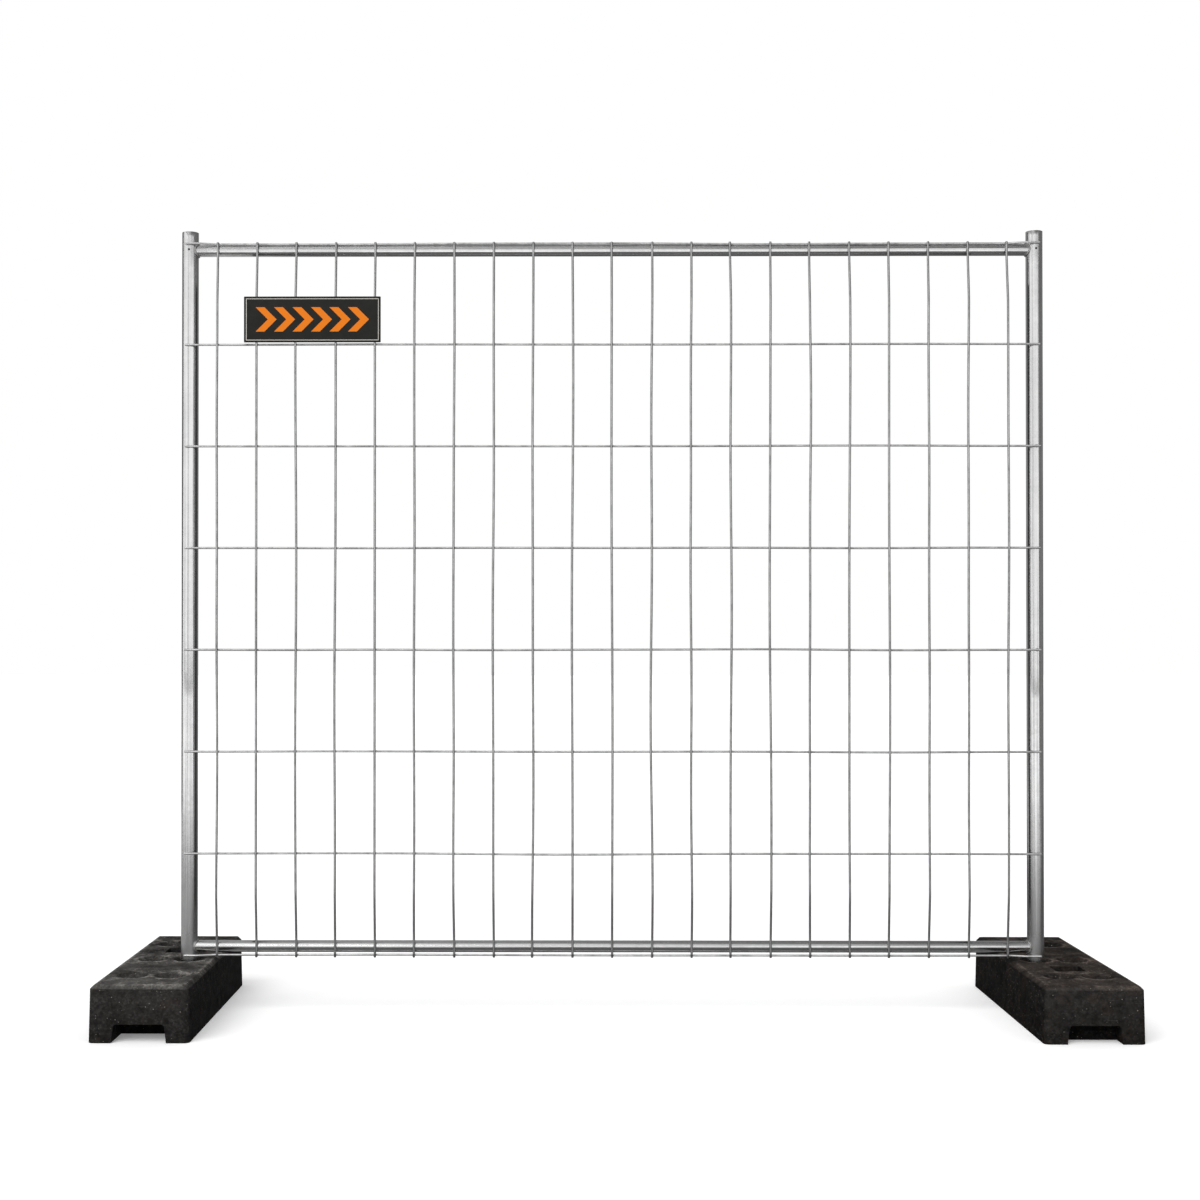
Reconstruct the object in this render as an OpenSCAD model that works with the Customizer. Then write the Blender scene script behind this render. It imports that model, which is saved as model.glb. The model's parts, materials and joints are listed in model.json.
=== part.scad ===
// Temporary fence panel: a welded tube frame filled with wire mesh, standing in two block feet.
// Millimetres. The origin is on the ground, midway between the posts. +X runs along the panel,
// +Z is up, and the mesh is on the front, which faces -Y.

/* [Tube frame] */
// Overall width over both posts
panel_w = 2200; // [1600:10:3400]
// Height of the post tops above the ground
panel_h = 1992; // [1200:1:2400]
// Outside diameter of the posts
post_d = 42; // [38:0.5:50]
// Wall thickness of the posts
post_wall = 1.5; // [1:0.1:3]
// Outside diameter of the rails
rail_d = 30; // [25:0.5:36]
// Wall thickness of the rails
rail_wall = 1.5; // [1:0.1:3]
// Drop from the post tops to the axis of the top rail
top_rail_drop = 46; // [36:1:100]
// Diameter of the vent hole in the front of each post, at the top rail
vent_d = 6; // [4:0.5:10]

/* [Welds] */
// Root gap between the saddle-cut end of a rail and its post
root_gap = 0.2; // [0.1:0.1:0.8]
// Leg length of the fillet weld round a rail end
weld_leg = 3; // [2:0.5:6]
// Gap between a weld bead and the tubes that it lies on
weld_seat = 0.1; // [0.05:0.05:0.3]

/* [Wire mesh] */
// Number of vertical wires
vertical_count = 21; // [7:1:29]
// Number of horizontal wires
horizontal_count = 8; // [4:1:9]
// Diameter of the vertical wires
vertical_d = 6; // [3:0.1:7]
// Diameter of the horizontal wires
horizontal_d = 5.5; // [2.5:0.1:6.5]
// Distance from a post's axis to the nearest vertical wire
side_gap = 74; // [64:1:110]
// Distance of the horizontal wires' ends from the outer edge of the posts
end_inset = 11.5; // [0:0.5:16]
// Gap between the top wire and the top rail
top_wire_gap = 1.1; // [0.5:0.1:5]
// Gap between the bottom wire and the bottom rail
bottom_wire_gap = 6; // [2:0.1:20]
// Length of the vertical wires past the top wire
top_overhang = 1; // [0.5:0.5:10]
// Length of the vertical wires past the bottom wire
bottom_overhang = 2.5; // [0.5:0.5:10]
// Gap between the vertical wires' lower ends and the feet
foot_gap = 7; // [3:0.5:30]

/* [Mesh set-back] */
// Straight length of a vertical wire past a rail's axis, before it steps forward
step_lead = 18; // [10:1:60]
// Height over which a vertical wire steps forward
step_run = 122; // [90:1:200]
// Bend radius of the vertical wires
vertical_bend_r = 150; // [40:5:180]
// Gap left beside the post and the first vertical wire, where the outer wires step back
end_step_gap = 3; // [1:0.5:6]
// Bend radius of the outer horizontal wires
end_bend_r = 12; // [6:1:20]

/* [Feet] */
// Length of a foot, across the panel
foot_l = 700; // [620:5:900]
// Width of a foot, along the panel
foot_w = 240; // [220:2:320]
// Height of a foot
foot_h = 135; // [110:1:180]
// Inward lean of each side wall of a foot, from the ground to the chamfer
foot_draft = 2.8; // [0.5:0.1:6]
// Chamfer round the top of a foot
foot_chamfer = 9; // [3:0.5:14]
// Radius of the upright corners of a foot, at the ground
foot_corner_r = 14; // [13:0.5:30]

/* [Sockets] */
// Spacing of the two columns of sockets, along the panel
socket_pitch_x = 92; // [90:1:130]
// Spacing of the three rows of sockets, across the panel
socket_pitch_y = 218; // [190:1:230]
// Gap all round a post in its socket
socket_clear = 1.5; // [0.5:0.1:4]
// Thickness of the floor under a socket
socket_floor = 15; // [8:1:40]
// Diameter of the funnel mouth of a socket
mouth_d = 78; // [56:1:88]
// Depth of the funnel mouth of a socket
mouth_depth = 16; // [4:1:40]
// Diameter of the drain hole in the floor of a socket
drain_d = 18; // [8:1:28]

/* [Hand holds] */
// Width of the hand slot, along the panel
slot_w = 74; // [50:1:110]
// Length of the hand slot, across the panel
slot_l = 64; // [40:1:72]
// Distance of the hand slot from the middle of the foot
slot_y = 122; // [95:1:130]
// Radius of the corners of the hand slot
slot_r = 6; // [2:0.5:15]
// Width of a grip pocket at the ground
grip_w = 130; // [90:1:180]
// Height of a grip pocket
grip_h = 43.5; // [30:0.5:60]
// Depth of the grip pocket at the slot's end of a foot
grip_depth = 50; // [30:1:60]
// Thickness of the wall between the other, deeper grip pocket and the sockets
grip_wall = 9.5; // [8:0.5:40]
// Inward lean of each side wall of a grip pocket
grip_draft = 4.2; // [0:0.1:10]
// Radius of the upper corners of a grip pocket
grip_r = 8; // [2:0.5:15]

/* [Sign] */
// Width of the sign plate
sign_w = 348; // [340:1:420]
// Height of the sign plate
sign_h = 117; // [80:1:180]
// Thickness of the sign plate
sign_t = 1.5; // [0.8:0.1:4]
// Radius of the corners of the sign plate
sign_r = 2; // [0.5:0.5:10]
// First vertical wire that the sign is clipped to, counted from the left
sign_first = 2; // [1:1:3]
// Last vertical wire that the sign is clipped to, counted from the left
sign_last = 5; // [4:1:5]
// Horizontal wire that the sign stands above, counted from the top
sign_row = 2; // [2:1:3]
// Sideways shift of the sign from the middle of its wires
sign_shift = -8; // [-14:1:14]
// Gap between the sign's lower edge and the wire below it
sign_gap = 1.5; // [0:0.5:30]
// Distance of the saddle clips from the upper and lower edges of the sign
saddle_inset = 24; // [12:1:40]
// Width of a saddle clip, along its wire
saddle_w = 14; // [8:1:20]
// Sheet thickness of a saddle clip
saddle_t = 1; // [0.5:0.1:2]
// Length of each flange of a saddle clip
saddle_flange = 9; // [5:0.5:14]
// Gap between a saddle clip and its wire
saddle_clear = 0.15; // [0.05:0.05:0.5]

/* [Hidden] */
$fn = 64;
cut = 1;
wire_sides = 12;
bend_steps = 2;
post_x = (panel_w - post_d) / 2;
socket_d = post_d + 2 * socket_clear;
foot_x = post_x + socket_pitch_x / 2;
deep_grip = foot_l / 2 - socket_pitch_y - socket_d / 2 - grip_wall;

// Distances from the panel's plane to the wires' axes, towards the front
wire_on_rail = (rail_d + vertical_d) / 2;
wire_on_post = (post_d + horizontal_d) / 2;
mesh_step = (post_d - rail_d) / 2 + horizontal_d;
wire_on_mesh = wire_on_rail + mesh_step;

// Heights, from the ground up
wire_bottom_z = foot_h + foot_gap;
bottom_wire_z = wire_bottom_z + bottom_overhang + horizontal_d / 2;
bottom_rail_z = bottom_wire_z + wire_to_rail(bottom_wire_gap);
top_rail_z = panel_h - top_rail_drop;
top_wire_z = top_rail_z + wire_to_rail(top_wire_gap);
wire_top_z = top_wire_z + horizontal_d / 2 + top_overhang;

// Spacing of the mesh
vertical_pitch = 2 * (post_x - side_gap) / (vertical_count - 1);
horizontal_pitch = (top_wire_z - bottom_wire_z) / (horizontal_count - 1);

// The stretch of an outer horizontal wire that steps back between a post and the first vertical wire
end_step_x = post_x - post_d / 2 - end_step_gap;
end_step_run = end_step_x - (post_x - side_gap + vertical_d / 2 + end_step_gap);

// Place of the sign, low enough for its clips to lie on the straight middle of the vertical wires
sign_x = (vertical_x(sign_first) + vertical_x(sign_last)) / 2 + sign_shift;
clips_over_wire = horizontal_d / 2 + sign_gap + sign_h - saddle_inset + saddle_w / 2;
highest_wire_z = top_rail_z - step_lead - step_run - clips_over_wire;
sign_wire = max(sign_row, ceil(1 + (top_wire_z - highest_wire_z) / horizontal_pitch));
sign_z = horizontal_z(sign_wire) + horizontal_d / 2 + sign_gap;
sign_back = wire_on_mesh + vertical_d / 2;

STEEL = "#b4b7b8";
WELD = "#8d9092";
RUBBER = "#34312e";
SIGN = "#2b2b29";

function horizontal_name(i) = str("horizontal_wire_", i);
function vertical_name(i) = str("vertical_wire_", i < 10 ? "0" : "", i);

function vertical_x(i) = side_gap - post_x + (i - 1) * vertical_pitch;
function horizontal_z(i) = top_wire_z - (i - 1) * horizontal_pitch;

// Height between a rail's axis and a wire that lies behind the vertical wires, this far from the rail
function wire_to_rail(gap) =
    let (apart = (rail_d + horizontal_d) / 2 + gap, back = (rail_d - horizontal_d) / 2)
    sqrt(apart * apart - back * back);

// Slope of a step between two equal bends
function step_angle(run, step, bend_r) =
    asin(2 * bend_r / norm([run, 2 * bend_r - step])) - atan2(2 * bend_r - step, run);

// Points [x, z, heading] round a bend that starts at p, with headings measured from +Z towards +X
function bend_path(p, from, to, bend_r) =
    let (turn = sign(to - from), centre = p + turn * bend_r * [cos(from), -sin(from)])
    [for (k = [0:bend_steps])
        let (heading = from + (to - from) * k / bend_steps)
        concat(centre - turn * bend_r * [cos(heading), -sin(heading)], heading)];

// Points along a step that starts at p and moves over by step, between two bends
function step_path(p, run, step, bend_r) =
    let (
        angle = sign(step) * step_angle(run, abs(step), bend_r),
        bend_size = bend_r * [sign(step) * (1 - cos(angle)), abs(sin(angle))]
    )
    concat(
        bend_path(p, 0, angle, bend_r),
        bend_path(p + [step, run] - bend_size, angle, 0, bend_r)
    );

module rod(d, length) {
    cylinder(d = d, h = length);
}

module tube(d, wall, length) {
    difference() {
        rod(d, length);
        translate([0, 0, -cut]) rod(d - 2 * wall, length + 2 * cut);
    }
}

// A round wire of even thickness along a path in the XZ plane
module bent_wire(d, path) {
    last = len(path) - 1;
    points = [
        for (p = path, k = [0:wire_sides - 1])
            let (across = d / 2 * cos(360 * k / wire_sides), up = d / 2 * sin(360 * k / wire_sides))
            [p.x + across * cos(p.z), up, p.y - across * sin(p.z)]
    ];
    sides = [
        for (i = [0:last - 1], k = [0:wire_sides - 1])
            let (a = i * wire_sides + k, b = i * wire_sides + (k + 1) % wire_sides)
            [a, a + wire_sides, b + wire_sides, b]
    ];
    start = [for (k = [0:wire_sides - 1]) k];
    end = [for (k = [wire_sides - 1:-1:0]) last * wire_sides + k];
    polyhedron(points, concat([start], sides, [end]));
}

// A wire along +Z that steps over towards +X, runs on, and steps back again
module stepped_wire(d, first, run, middle, last, step, bend_r) {
    bent_wire(d, concat(
        [[0, 0, 0]],
        step_path([0, first], run, step, bend_r),
        step_path([step, first + run + middle], run, -step, bend_r),
        [[0, first + 2 * run + middle + last, 0]]
    ));
}

// A post stands on the floor of its socket and is vented at the front of the top rail
module post(side) {
    color(STEEL)
        translate([side * post_x, 0, 0])
            difference() {
                translate([0, 0, socket_floor]) tube(post_d, post_wall, panel_h - socket_floor);
                translate([0, 0, top_rail_z]) rotate([90, 0, 0]) rod(vent_d, post_d);
            }
}

// A rail is saddle-cut to the posts at both ends
module rail(z) {
    color(STEEL)
        difference() {
            translate([-post_x, 0, z]) rotate([0, 90, 0]) tube(rail_d, rail_wall, 2 * post_x);
            for (side = [-1, 1])
                translate([side * post_x, 0, z - rail_d]) rod(post_d + 2 * root_gap, 2 * rail_d);
        }
}

// A fillet weld follows the saddle between a rail and a post
module weld_bead(side, z) {
    reach = post_d / 2 + weld_leg;
    translate([side * post_x, 0, z])
        difference() {
            intersection() {
                rotate([0, -90 * side, 0]) rod(rail_d + 2 * weld_leg, reach);
                translate([0, 0, -rail_d]) rod(2 * reach, 2 * rail_d);
            }
            rotate([0, -90 * side, 0]) rod(rail_d + 2 * weld_seat, reach + cut);
            translate([0, 0, -rail_d]) rod(post_d + 2 * weld_seat, 2 * rail_d);
        }
}

module rail_weld_beads() {
    color(WELD)
        for (side = [-1, 1], z = [bottom_rail_z, top_rail_z])
            weld_bead(side, z);
}

// The top and bottom wires step back from the posts to lie behind the vertical wires at the rails
module horizontal_wire(i) {
    outer = i == 1 || i == horizontal_count;
    half_l = panel_w / 2 - end_inset;
    lead = half_l - end_step_x;
    middle = 2 * (end_step_x - end_step_run);
    color(STEEL)
        translate([-half_l, -wire_on_post, horizontal_z(i)])
            rotate([90, 0, 90])
                if (outer)
                    stepped_wire(horizontal_d, lead, end_step_run, middle, lead, mesh_step, end_bend_r);
                else
                    rod(horizontal_d, 2 * half_l);
}

// A vertical wire lies on the fronts of both rails and steps forward between them
module vertical_wire(i) {
    first = bottom_rail_z + step_lead - wire_bottom_z;
    middle = top_rail_z - bottom_rail_z - 2 * (step_lead + step_run);
    last = wire_top_z - top_rail_z + step_lead;
    color(STEEL)
        translate([vertical_x(i), -wire_on_rail, wire_bottom_z])
            rotate([0, 0, -90])
                stepped_wire(vertical_d, first, step_run, middle, last, mesh_step, vertical_bend_r);
}

module rounded_rectangle(size, r) {
    square([size.x, size.y - 2 * r], center = true);
    square([size.x - 2 * r, size.y], center = true);
    for (x = [-1, 1], y = [-1, 1])
        translate([x * (size.x / 2 - r), y * (size.y / 2 - r)]) circle(r);
}

module sign_plate() {
    color(SIGN)
        translate([sign_x, -sign_back, sign_z + sign_h / 2])
            rotate([90, 0, 0])
                linear_extrude(sign_t)
                    rounded_rectangle([sign_w, sign_h], sign_r);
}

// A strap bent over a wire, with a flange on each side that lies on the back of the sign
module saddle_profile() {
    inner_r = vertical_d / 2 + saddle_clear;
    outer_r = inner_r + saddle_t;
    difference() {
        union() {
            intersection() {
                circle(outer_r);
                translate([-outer_r, -vertical_d / 2]) square([2 * outer_r, 2 * outer_r]);
            }
            translate([-outer_r, -vertical_d / 2]) square([2 * outer_r, vertical_d / 2]);
            translate([-outer_r - saddle_flange, -vertical_d / 2])
                square([2 * (outer_r + saddle_flange), saddle_t]);
        }
        circle(inner_r);
        translate([-inner_r, -vertical_d]) square([2 * inner_r, vertical_d]);
    }
}

module sign_saddles() {
    color(STEEL)
        for (i = [sign_first, sign_last], z = [saddle_inset, sign_h - saddle_inset])
            translate([vertical_x(i), -wire_on_mesh, sign_z + z])
                linear_extrude(saddle_w, center = true)
                    saddle_profile();
}

// The moulded outline of a foot: leaning walls, round upright corners and a chamfered top
module foot_body() {
    shoulder_z = foot_h - foot_chamfer;
    shoulder_r = foot_corner_r - foot_draft;
    hull()
        for (x = [-1, 1], y = [-1, 1])
            translate([x * (foot_w / 2 - foot_corner_r), y * (foot_l / 2 - foot_corner_r), 0]) {
                cylinder(h = shoulder_z, r1 = foot_corner_r, r2 = shoulder_r, $fn = 32);
                translate([0, 0, shoulder_z])
                    cylinder(h = foot_chamfer, r1 = shoulder_r, r2 = shoulder_r - foot_chamfer, $fn = 32);
            }
}

// A socket with a funnel mouth, and a floor that drains
module socket() {
    slope = (mouth_d - socket_d) / 2 / mouth_depth;
    translate([0, 0, -cut]) rod(drain_d, foot_h);
    translate([0, 0, socket_floor]) rod(socket_d, foot_h);
    translate([0, 0, foot_h - mouth_depth])
        cylinder(h = mouth_depth + cut, d1 = socket_d, d2 = mouth_d + 2 * cut * slope);
}

module hand_slot() {
    translate([0, 0, -cut])
        linear_extrude(foot_h + 2 * cut)
            rounded_rectangle([slot_w, slot_l], slot_r);
}

// The opening of a grip pocket: leaning sides and round upper corners, open to the ground
module grip_profile() {
    top_w = grip_w - 2 * grip_draft;
    corner_x = top_w / 2 - grip_r;
    lean = atan2(grip_draft, grip_h);
    polygon([
        [-grip_w / 2, -cut],
        [grip_w / 2, -cut],
        [corner_x + grip_r * cos(lean), grip_h - grip_r + grip_r * sin(lean)],
        [corner_x, grip_h],
        [-corner_x, grip_h],
        [-corner_x - grip_r * cos(lean), grip_h - grip_r + grip_r * sin(lean)],
    ]);
    for (side = [-1, 1])
        translate([side * corner_x, grip_h - grip_r]) circle(grip_r);
}

module grip_pocket(depth) {
    translate([0, foot_l / 2 - depth, 0])
        rotate([90, 0, 180])
            linear_extrude(depth + cut)
                grip_profile();
}

module foot_moulding() {
    difference() {
        foot_body();
        for (x = [-0.5, 0.5], y = [-1, 0, 1])
            translate([x * socket_pitch_x, y * socket_pitch_y, 0]) socket();
        translate([0, -slot_y, 0]) hand_slot();
        grip_pocket(deep_grip);
        rotate([0, 0, 180]) grip_pocket(grip_depth);
    }
}

// Both feet come from one mould; the left one is turned round
module foot_block(side) {
    color(RUBBER)
        translate([side * foot_x, 0, 0])
            rotate([0, 0, side < 0 ? 180 : 0])
                foot_moulding();
}

post(-1);  // left_post
post(1);  // right_post
rail(top_rail_z);  // top_rail
rail(bottom_rail_z);  // bottom_rail
rail_weld_beads();
for (i = [1:horizontal_count])
    horizontal_wire(i);
for (i = [1:vertical_count])
    vertical_wire(i);
sign_plate();
sign_saddles();
foot_block(-1);  // left_foot_block
foot_block(1);  // right_foot_block
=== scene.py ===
"""Temporary fence panel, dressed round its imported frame.

Lengths are metres in the frame's axes: +X along the panel, +Z up, and the mesh on the front, towards -Y.
Every piece is a numpy surface or a rounded copy of its solid, and sits where its CAD node sits.
"""

import json
import math

import bmesh
import bpy
import numpy as np
from bpy.props import FloatProperty, FloatVectorProperty, IntProperty, PointerProperty
from bpy.types import Operator, Panel, PropertyGroup
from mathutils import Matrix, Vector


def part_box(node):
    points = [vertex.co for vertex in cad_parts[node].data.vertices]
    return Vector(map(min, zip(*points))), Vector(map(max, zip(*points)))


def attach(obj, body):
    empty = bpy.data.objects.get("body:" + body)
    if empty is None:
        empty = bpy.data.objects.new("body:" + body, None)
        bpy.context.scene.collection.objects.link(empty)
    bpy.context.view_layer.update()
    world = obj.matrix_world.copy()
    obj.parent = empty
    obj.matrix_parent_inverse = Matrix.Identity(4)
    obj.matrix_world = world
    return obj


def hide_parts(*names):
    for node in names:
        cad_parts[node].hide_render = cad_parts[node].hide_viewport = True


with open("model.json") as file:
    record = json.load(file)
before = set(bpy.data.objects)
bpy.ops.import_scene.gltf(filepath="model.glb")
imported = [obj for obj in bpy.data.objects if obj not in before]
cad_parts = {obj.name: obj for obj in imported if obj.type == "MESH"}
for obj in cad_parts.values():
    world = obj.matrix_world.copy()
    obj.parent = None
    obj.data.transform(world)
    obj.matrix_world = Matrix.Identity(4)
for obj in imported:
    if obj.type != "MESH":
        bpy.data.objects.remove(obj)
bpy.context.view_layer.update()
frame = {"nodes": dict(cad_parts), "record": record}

bl_info = {
    "name": "Temporary Fence Panel",
    "version": (1, 0, 0),
    "blender": (4, 5, 0),
    "location": "View3D > Sidebar > Fence",
    "description": "Dresses a welded mesh fence panel and its two rubber feet",
    "category": "Object",
}

MM = 0.001
VERTICAL_NAMES = [name for name in sorted(frame["nodes"]) if name.startswith("vertical_wire_")]
HORIZONTAL_NAMES = [name for name in sorted(frame["nodes"]) if name.startswith("horizontal_wire_")]
SIGN_WIRES = ("vertical_wire_02", "vertical_wire_05")
SIDES = {"left": -1.0, "right": 1.0}


def box_of(node):
    """A node's lowest and highest corners as arrays."""
    low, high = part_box(node)
    return np.array(low), np.array(high)


POST_LOW, POST_HIGH = box_of("right_post")
POST_R = float(POST_HIGH[0] - POST_LOW[0]) / 2
POST_X = float(POST_HIGH[0] + POST_LOW[0]) / 2
RAIL_Z = {name: float(sum(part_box(name)[k].z for k in (0, 1))) / 2 for name in ("top_rail", "bottom_rail")}
RAIL_R = float(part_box("top_rail")[1].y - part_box("top_rail")[0].y) / 2
SIGN_LOW, SIGN_HIGH = box_of("sign_plate")
FOOT_LOW, FOOT_HIGH = box_of("right_foot_block")
FOOT_X = float(FOOT_LOW[0] + FOOT_HIGH[0]) / 2
MOUNT_PLACES = {mount["name"]: mount["pos_m"] for mount in frame["record"]["mounts"]}
OUTER_SOCKET = MOUNT_PLACES["right_socket_outer_back"]
SOCKET_COLUMN, SOCKET_ROW = OUTER_SOCKET[0] - FOOT_X, OUTER_SOCKET[1]
# Where each kind of piece starts its random draws
SEEDS = {"post": 11, "rail": 21, "weld": 31, "nugget": 41, "vertical": 100, "horizontal": 200}


def linear(code):
    """Linear RGBA of an sRGB hex colour, by the sRGB curve."""
    srgb = np.array([int(code[k : k + 2], 16) for k in (1, 3, 5)]) / 255
    curve = np.where(srgb <= 0.04045, srgb / 12.92, ((srgb + 0.055) / 1.055) ** 2.4)
    return (*curve.tolist(), 1.0)


def length(name, description, millimetres, low=0.0, high=1000.0):
    """A length property whose default and limits are given in millimetres."""
    return FloatProperty(
        name=name,
        description=description,
        default=millimetres * MM,
        min=low * MM,
        max=high * MM,
        precision=5,
        subtype="DISTANCE",
        unit="LENGTH",
    )


def colour(name, description, code):
    """A colour property whose default is an sRGB hex value."""
    return FloatVectorProperty(
        name=name, description=description, default=linear(code), size=4, min=0.0, max=1.0, subtype="COLOR"
    )


def degrees(name, description, value):
    """An angle property whose default is given in degrees."""
    return FloatProperty(name=name, description=description, default=math.radians(value), subtype="ANGLE")


def plain_number(name, description, value):
    """A number property that can't go below zero."""
    return FloatProperty(name=name, description=description, default=value, min=0.0)


def whole_number(name, description, value, low, high):
    """A whole number property with its limits."""
    return IntProperty(name=name, description=description, default=value, min=low, max=high)


class FenceTubeSizes(PropertyGroup):
    """Sizes of the posts, rails and their welds."""

    post_wall: length("Post wall", "Wall thickness of the posts", 1.5)
    rail_wall: length("Rail wall", "Wall thickness of the rails", 1.5)
    rim: length("Rim rounding", "Radius of the edges of a cut tube end", 0.35)
    vent_d: length("Vent diameter", "Hole in the front of each post at the top rail", 6.0)
    wobble: length("Unevenness", "Depth of the slight waves of a rolled tube wall", 0.03)
    weld_leg: length("Weld leg", "Leg length of the weld round a rail end", 3.0)
    weld_ripple: length("Weld ripple", "Spacing of the ripples along a weld", 3.4)
    # Painted shade: the posts are darkened towards the ground up to this height
    splash: length("Splash", "Height up to which splashes dull the posts", 560.0)


class FenceMeshSizes(PropertyGroup):
    """Sizes of the wire mesh and its spot welds."""

    step_lead: length("Step lead", "Straight wire past a rail's axis, before the wire steps forward", 18.0)
    step_run: length("Step run", "Height over which a vertical wire steps forward", 122.0)
    end_lead: length("End lead", "Gap between a post and the step of an outer horizontal wire", 3.0)
    end_run: length("End run", "Length over which an outer horizontal wire steps back", 44.0)
    vertical_bow: length("Vertical bow", "How far a vertical wire strays from a straight line", 1.3)
    horizontal_bow: length("Horizontal bow", "How far a horizontal wire strays from a straight line", 0.9)
    nugget: length("Spot weld", "Width of the metal squeezed out of a spot weld", 7.3)
    wire_sides: whole_number("Wire sides", "Faces round a wire", 12, 6, 32)


class FenceFootSizes(PropertyGroup):
    """Sizes of the rubber feet."""

    edge: length("Edge rounding", "Radius of the moulded edges of a foot", 2.6)
    granule: length("Granule", "Size of the rubber crumb that shows at the surface", 4.2)
    speck: length("Speck", "Spacing of the pale and coloured crumbs", 9.0)
    mouth_r: length("Mouth radius", "Radius of the funnel mouth of a socket, where dust gathers", 39.0)
    brow: length("Brow", "Distance of the top's outline inside the outline on the ground", 12.0)


class FenceSignSizes(PropertyGroup):
    """Sizes of the sign and its print."""

    corner: length("Corner radius", "Radius of the corners of the plate", 2.0)
    chevron_pitch: length("Chevron pitch", "Spacing of the printed chevrons", 47.0)
    chevron_width: length("Chevron width", "Width of a printed chevron along the plate", 22.5)
    chevron_reach: length("Chevron reach", "Height of a printed chevron above and below the middle", 31.0)
    chevrons: whole_number("Chevrons", "Number of printed chevrons", 6, 1, 12)
    border: length("Border", "Distance of the printed line from the plate's edge", 6.0)
    line: length("Line", "Width of the printed line", 1.6)


class FenceColours(PropertyGroup):
    """Colours of the finishes."""

    zinc: colour("Zinc", "Bright zinc of the tubes", "#ededed")
    zinc_shade: colour("Zinc shade", "Dull zinc of the tubes", "#b1b1b1")
    wire: colour("Wire zinc", "Zinc of the upright wires", "#bababa")
    wire_shade: colour("Wire shade", "Dull stretches of the wires", "#8f8f8f")
    # Painted light: a brighter copy of the wire zinc for the horizontal wires
    cross_wire_lit: colour("Cross wire zinc", "Brighter zinc of the horizontal wires", "#d7d7d7")
    weld: colour("Weld", "Weld metal under its zinc", "#c3c3c3")
    scorch: colour("Scorch", "Heat tint beside the welds", "#9b9690")
    rubber: colour("Rubber", "Recycled rubber", "#131212")
    rubber_grey: colour("Grey crumb", "Greyer crumbs of the rubber", "#282726")
    rubber_brown: colour("Brown crumb", "Browner crumbs of the rubber", "#2a211a")
    # Scuffs and painted light on the ends of the feet
    scuff_and_end_light: colour("Scuff", "Scuffed skin at the ends of the feet", "#5a5856")
    dust: colour("Dust", "Dried dirt on the top of the feet", "#85827e")
    clay: colour("Clay", "Browner dirt on the top of the right foot", "#80736a")
    pale_crumb: colour("Pale crumb", "Pale crumbs in the rubber", "#b9b2a4")
    red_crumb: colour("Red crumb", "Red crumbs in the rubber", "#93402f")
    sign_ground: colour("Sign ground", "Dark ground of the sign's print", "#222220")
    sign_orange: colour("Sign orange", "Chevrons of the sign's print", "#f48218")
    sign_line: colour("Sign line", "Line of the sign's print", "#d9d6ce")


class FenceStage(PropertyGroup):
    """Camera, light, floor and what the metal mirrors."""

    lens: FloatProperty(name="Lens", description="Focal length", default=52.457, unit="CAMERA")
    camera_x: length("Camera X", "Place of the camera along the panel", -128.2, -5000.0, 5000.0)
    camera_y: length("Camera Y", "Distance of the camera in front of the panel", -4468.2, -9000.0, 0.0)
    camera_z: length("Camera Z", "Height of the camera", 954.8, 0.0, 5000.0)
    turn: degrees("Turn", "Turn of the camera to the left", 0.364)
    tilt: degrees("Tilt", "Upward tilt of the camera", 0.482)
    shift_x: FloatProperty(name="Shift X", description="Sideways shift of the lens", default=0.0413)
    shift_y: FloatProperty(name="Shift Y", description="Upward shift of the lens", default=0.0192)
    sky: plain_number("Sky", "Strength of the soft light all round", 0.62)
    key: plain_number("Key", "Strength of the key light", 2.0)
    key_spread: degrees("Key spread", "Width of the key light in the sky", 48)
    key_slope: degrees("Key slope", "How far the key light leans from overhead to the front", 48)
    key_turn: degrees("Key turn", "Turn of the key light, to the left where negative", -26)
    floor: colour("Floor", "Paper of the studio floor", "#f6f6f6")
    bounce: plain_number("Bounce", "Share of the floor's light that reaches dull surfaces", 0.38)
    glow: plain_number("Glow", "What lifts the floor to white where it is seen", 0.2)
    cloth: plain_number("Cloth", "Level of the dark cloth that the metal mirrors below", 0.12)
    dim_cloth: plain_number("Dim cloth", "Level of the dim cloth round the dark one", 0.52)
    underside: plain_number("Underside", "Level of the pale underside of the dark table", 0.85)
    card: plain_number("Card", "Level of the dark card beside each post", 0.04)
    front_screen: plain_number("Front screen", "Level of the narrow screen at front left", 0.6)
    side_screen: plain_number("Side screen", "Level of the dark screen on the right", 0.2)
    rear_screen: plain_number("Rear screens", "Level of the dim screen behind", 0.28)
    ceiling: plain_number("Ceiling", "Level of the dim ceiling", 0.35)


PROPERTY_GROUPS = {
    "fence_tubes": FenceTubeSizes,
    "fence_mesh": FenceMeshSizes,
    "fence_foot": FenceFootSizes,
    "fence_sign": FenceSignSizes,
    "fence_colours": FenceColours,
    "fence_stage": FenceStage,
}


def add(tree, kind, sockets=None, **settings):
    """Adds a shader node with its settings, fills its sockets with values or links, gives its outputs.

    Sockets go by name or number. Map Range takes value, from low, from high, to low and to high as 0 to 4.
    A mix of colours takes its share as 0 and the colours as 6 and 7, and gives the result as 2.
    """
    made = tree.nodes.new("ShaderNode" + kind)
    for key, value in settings.items():
        setattr(made, key, value)
    for key, value in (sockets or {}).items():
        if isinstance(value, bpy.types.NodeSocket):
            tree.links.new(value, made.inputs[key])
        else:
            made.inputs[key].default_value = value
    return made.outputs


def new_material(name):
    """An empty node material, its tree and its Object coordinates."""
    made = bpy.data.materials.new(name)
    made.use_nodes = True
    made.node_tree.nodes.clear()
    return made, made.node_tree, add(made.node_tree, "TexCoord")["Object"]


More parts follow.
